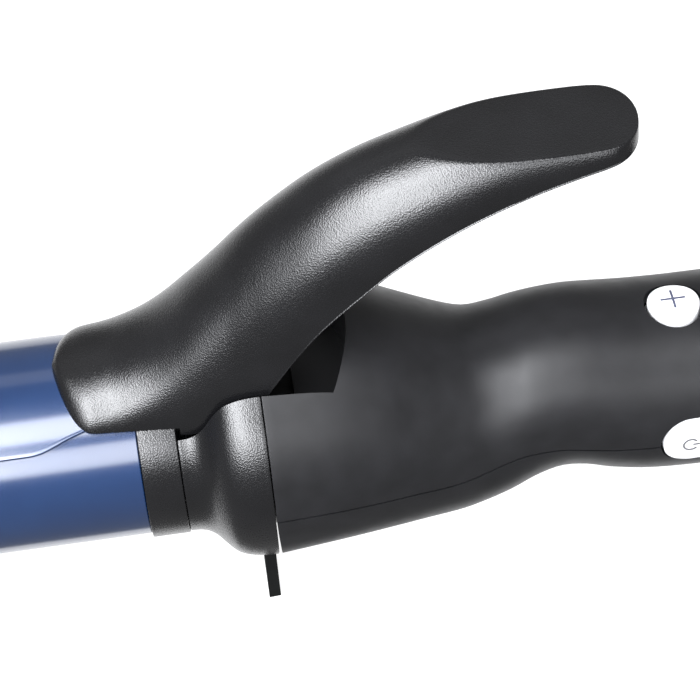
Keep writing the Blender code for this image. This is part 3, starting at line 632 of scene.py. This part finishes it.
def build_side_key():
    x0, x1, cz, half = SIDE_BUTTON
    mid = (x0 + x1) / 2
    centre, radius = smooth(HANDLE, mid, 2), smooth(HANDLE, mid, 1) + KEY_PROUD
    cap = crowned("side_key_cap", stadium(x0, x1, cz, half, 28), "Y", SIDE_BASE_Y, radius, centre, -1)
    flange = stadium(x0 - KEY_FLANGE, x1 + KEY_FLANGE, cz, half + KEY_FLANGE)
    stem = [(mid, y, SIDE_STEM_Z) for y in SIDE_STEM_Y]
    cap = carve(cap, joins(prism("side_flange", flange, *SIDE_FLANGE_Y), rod("side_stem", STEM_R, *stem)))
    settle(cap, "power_key", KEY, ["power_button"])
    side_glyph(x0 + GLYPH_X, cz, centre, radius)


def side_glyph(mid, cz, centre, radius):
    """A generic open ring with a bar, as a thin film on the side key."""
    bm = bmesh.new()
    half = GLYPH_WIDTH / 2

    def strip(path):
        rows = []
        for (u, v), (du, dv) in path:
            level = -math.sqrt(radius**2 - (v - centre) ** 2)
            low, high = level + FILM_SUNK, level - GLYPH_PROUD
            rows.append([vertex(bm, u + du * s, y, v + dv * s)
                         for s, y in ((-1, low), (1, low), (1, high), (-1, high))])
        skin(bm, rows)

    arc = [math.radians(d) for d in range(40, 321, 8)]
    strip([((mid + GLYPH_R * math.cos(a), cz + GLYPH_R * math.sin(a)),
            (half * math.cos(a), half * math.sin(a))) for a in arc])
    strip([((mid + t, cz), (0.0, half)) for t in (0.35, 0.7, 1.05, 1.4)])
    settle(add_object("side_key_mark", bm), "power_key", PALE_PRINT)


# ---------------------------------------------------------------- clip and lever
def build_clip():
    """The rolled sheet as a closed shell whose long edges are rounded over."""
    bm = bmesh.new()
    across = 56
    rows = []
    stations = sorted(set([-164.6, -164.3] + spread(-164, -146, 0.5) + spread(-143, -40, 3)
                          + spread(-39, -21.1, 0.4)))
    for x in stations:
        lift = CLIP_LIFT * max(0.0, (CLIP_LIFT_X - x) / CLIP_LIFT_LENGTH) ** 2
        inner, reach = CLIP_R + lift, math.radians(smooth(CLIP_REACH, x))
        section = [(inner + CLIP_T, reach * (2 * k / across - 1)) for k in range(across + 1)]
        for side in (1, -1):
            section += [(inner + CLIP_T / 2 + side * CLIP_T / 2 * math.cos(a),
                         side * (reach + CLIP_T / 2 * math.sin(a) / inner))
                        for a in (math.pi * k / 6 for k in range(1, 6))]
            if side == 1:
                section += [(inner, reach * (1 - 2 * k / across)) for k in range(across + 1)]
        rows.append([vertex(bm, x, r * math.sin(a), r * math.cos(a)) for r, a in section])
    skin(bm, rows)
    settle(add_object("clip_sheet", bm), "clip_lever", BLUE, ["clip_blade"])


def soft_floor(value, limit, radius=0.28):
    """The lower of value and limit, eased over radius where they meet."""
    return limit + (value - limit - math.sqrt((value - limit) ** 2 + radius**2)) / 2 + radius / 40


def lever_width(x):
    """Half the lever's width, drawn in to a round nose and a round tip."""
    width = smooth(LEVER_W, x)
    if x < NOSE_X + NOSE_LEN:
        u = 1.0 - (x - NOSE_X) / NOSE_LEN
        width *= max(1.0 - u**2.4, 0.0) ** (1 / 2.4)
    if x > LEVER_TIP_X - LEVER_TIP_LEN:
        u = 1.0 - (LEVER_TIP_X - x) / LEVER_TIP_LEN
        width *= max(1.0 - u**2.2, 0.0) ** (1 / 2.2)
    return max(width, 0.9)


def arch(x, width, low, top, count, pad=None, bead=0.0):
    """A section across the lever: an arch from low to top, cut flat at the pad's height if given."""
    bulge = 2 / ARCH_POWER
    points = []
    for k in range(count):
        t = math.pi * k / (count - 1) - math.pi / 2
        s, c = math.sin(t), max(math.cos(t), 0.0)
        y, z = math.copysign(width * abs(s) ** bulge, s), low + (top - low) * c**bulge
        z = z if pad is None else min(soft_floor(z, pad), pad)
        points.append((x, y, z))
    if bead:
        # a fine moulded bead along the open lower edge
        for spot, side in ((0, -1), (-1, 1)):
            points[spot] = (x, side * width, low + 0.34)
            for out_by, up_by in ((bead, 0.2), (bead, 0.1), (0.0, 0.0)):
                points.insert(0 if side < 0 else len(points), (x, side * (width + out_by), low + up_by))
    return points


def bead_at(x):
    """The bead grows from almost nothing inside the cone to its full size outside."""
    return LEAST_BEAD + (BEAD - LEAST_BEAD) * min(max((x - 1.0) / 4.0, 0.0), 1.0)


def build_lever():
    nose = [NOSE_X + NOSE_LEN * (k / 22) ** 2 for k in range(23)]
    tip = [LEVER_TIP_X - LEVER_TIP_LEN * (k / 24) ** 2 for k in range(24, -1, -1)]
    stations = nose + spread(nose[-1] + 0.6, tip[0] - 0.6, 0.75) + tip
    rings = [arch(x, lever_width(x), smooth(LEVER_LOW, x), smooth(LEVER_TOP, x), 97, pad=PAD_Z,
                  bead=bead_at(x)) for x in stations]
    lever = loft("grained_lever", rings)
    inside = [arch(x, smooth(LEVER_W, x) - LEVER_WALL, smooth(LEVER_LOW, x) - 6.0,
                   min(smooth(LEVER_TOP, x) - 2.2, PAD_Z - 2.0), 40)
              for x in [-18.5] + spread(-15, 44, 2.5)]
    steps = cuts(loft("lever_inside", inside),
                 rod("saddle", SADDLE_R, (-40, 0, 0), (SADDLE_X, 0, 0), 160))
    x, z = PIVOT
    for side in (-1, 1):
        steps += joins(rod(f"ear_{side}", EAR_R, (x, side * EAR_Y[0], z), (x, side * EAR_Y[1], z)))
    steps += joins(box("post", POST_LOW, POST_HIGH))
    steps += cuts(rod("pin_room", PIN_ROOM, (x, -20, z), (x, 20, z)))
    settle(carve(lever, steps), "clip_lever", GRAIN, ["thumb_lever"], 34.0)


# ---------------------------------------------------------------- pieces that keep their CAD shape
EASED_EDGE = 0.18


def dress_cad_nodes():
    looks = {
        "steel": metal("steel", (0.52, 0.53, 0.55), (0.64, 0.65, 0.67), 0.28),
        "aluminium": metal("aluminium", (0.66, 0.67, 0.69), (0.76, 0.77, 0.79), 0.35, 0.8),
        "brass": metal("brass", (0.62, 0.45, 0.18), (0.74, 0.56, 0.25), 0.32),
        "ceramic": plain("ceramic", (0.76, 0.74, 0.68), (0.84, 0.82, 0.76), 0.6, 0.6),
        "board": plain("board", (0.02, 0.13, 0.055), (0.04, 0.19, 0.085), 0.45, 1.0),
        "smoked": plain("smoked", (0.010, 0.010, 0.014), (0.014, 0.014, 0.019), 0.12, 2.0, 0.002),
        "sleeve": plain("sleeve", (0.66, 0.66, 0.63), (0.80, 0.80, 0.77), 0.75, 0.35, 0.06),
        "wire_coat": plain("wire_coat", (0.68, 0.68, 0.65), (0.78, 0.78, 0.75), 0.6, 0.5),
        "white_key": KEY, "black_plain": PLAIN, "black_grain": GRAIN, "black_soft": SOFT, "blue_metal": BLUE}
    slots = {row["node"]: row["material_slot"] for row in frame["record"]["subparts"]}
    for name, node in frame["nodes"].items():
        if node.hide_render:
            continue
        node.data.materials.clear()
        node.data.materials.append(looks[slots[name]])
        if name in ("stand_plate", "display_window"):
            edge = node.modifiers.new("eased_edges", "BEVEL")
            edge.width, edge.segments, edge.limit_method = EASED_EDGE * MM, 3, "ANGLE"
            edge.angle_limit = math.radians(50)


# ---------------------------------------------------------------- stage, light and camera
# The stage is in metres.
FLOOR_GLOW, FLOOR_TONE, FLOOR_SPLIT, FLOOR_REACH, FLOOR_DROP = 0.95, 0.2, -0.014, 20.0, 0.0002
SKY = 0.31
# Softboxes: name, angle from straight up towards the viewer's side and the angle covered, the two
# ends along the wand as slopes from the seat, and brightness.
LIGHT_SEAT, LIGHT_FAR, COOL = (0.01, 0, 0.02), 0.75, (0.95, 0.965, 1.0)
SOFTBOXES = (("high_strip", 29, 24, -1.2, 0.55, 5.4), ("front_strip", 64.5, 25, -1.2, 0.55, 4.2),
             ("key_box", 38, 70, -0.74, -0.24, 17.0), ("rim_strip", -36, 16, -0.8, 0.5, 0.4))


def add_light(name, length, width, place, target, power):
    light = bpy.data.lights.new(name, "AREA")
    light.shape, light.size, light.size_y = "RECTANGLE", length, width
    light.energy, light.color = power, COOL
    obj = bpy.data.objects.new(name, light)
    bpy.context.scene.collection.objects.link(obj)
    obj.location = place
    obj.rotation_euler = (target - place).to_track_quat("-Z", "Y").to_euler()


def build_stage():
    floor_look = Nodes("pale_floor", 0.9)
    floor_look.shader.inputs["Base Color"].default_value = (FLOOR_TONE, FLOOR_TONE, FLOOR_TONE, 1)
    floor_look.shader.inputs["Emission Color"].default_value = (1, 1, 1, 1)
    floor_look.shader.inputs["Emission Strength"].default_value = FLOOR_GLOW
    # The floor doesn't light the wand from below.  Only the half behind the wand shows in its gloss,
    # where it gives the far outlines their pale edge.
    for name, near, far in (("floor_front", -FLOOR_REACH, FLOOR_SPLIT),
                            ("floor_back", FLOOR_SPLIT, FLOOR_REACH)):
        bm = bmesh.new()
        bmesh.ops.create_grid(bm, x_segments=1, y_segments=1, size=0.5)
        for vert in bm.verts:
            vert.co = Vector((vert.co.x * 2 * FLOOR_REACH, (near + far) / 2 + vert.co.y * (far - near), 0))
        floor = add_object(name, bm)
        floor.location.z = CAD_LOW.z - FLOOR_DROP
        floor.data.materials.append(floor_look.mat)
        floor.visible_diffuse = False
        floor.visible_glossy = name == "floor_back"

    world = bpy.data.worlds.new("studio")
    world.use_nodes = True
    world.node_tree.nodes["Background"].inputs["Color"].default_value = (1, 1, 1, 1)
    world.node_tree.nodes["Background"].inputs["Strength"].default_value = SKY
    bpy.context.scene.world = world
    bpy.context.scene.view_settings.view_transform = "Standard"

    seat = PLACE @ Vector(LIGHT_SEAT)
    turn = PLACE.to_3x3()
    for name, angle, cover, left, right, glow in SOFTBOXES:
        a = math.radians(angle)
        away = turn @ Vector((0, -math.sin(a), math.cos(a)))
        target = seat + turn @ Vector(((left + right) / 2 * LIGHT_FAR, 0, 0))
        length, width = (right - left) * LIGHT_FAR, 2 * LIGHT_FAR * math.tan(math.radians(cover / 2))
        # four watts a square metre for each unit of brightness
        add_light(name, length, width, target + away * LIGHT_FAR, target, glow * 4 * length * width)


# The view in the wand's own frame: the point looked at, how far off the camera is and how wide the
# picture is there, in millimetres, then the view's elevation, azimuth and small roll in degrees.
VIEW_TARGET, VIEW_FAR, VIEW_WIDE = (15.27, 5.52, 6.25), 378.0, 110.41
VIEW_TURN = (47, -4.5, 4.39)
SENSOR_WIDE = 36


def build_camera():
    elevation, azimuth, roll = map(math.radians, VIEW_TURN)
    back = Vector((math.sin(azimuth) * math.cos(elevation), -math.cos(azimuth) * math.cos(elevation),
                   math.sin(elevation)))
    right = Vector((math.cos(azimuth), math.sin(azimuth), 0))
    up = back.cross(right)
    across = right * math.cos(roll) - up * math.sin(roll)
    upward = right * math.sin(roll) + up * math.cos(roll)
    data = bpy.data.cameras.new("camera")
    data.sensor_width = SENSOR_WIDE
    data.lens = SENSOR_WIDE * VIEW_FAR / VIEW_WIDE
    data.clip_start = 0.01
    camera = bpy.data.objects.new("camera", data)
    bpy.context.scene.collection.objects.link(camera)
    axes = Matrix((across, upward, back)).transposed().to_4x4()
    place = (Vector(VIEW_TARGET) + back * VIEW_FAR) * MM
    camera.matrix_world = PLACE @ Matrix.Translation(place) @ axes
    bpy.context.scene.camera = camera


build_camera()
build_barrel()
build_tip()
build_ring()
build_cone()
build_handle()
build_tail()
build_top_keys()
build_side_key()
build_clip()
build_lever()
dress_cad_nodes()
build_stage()
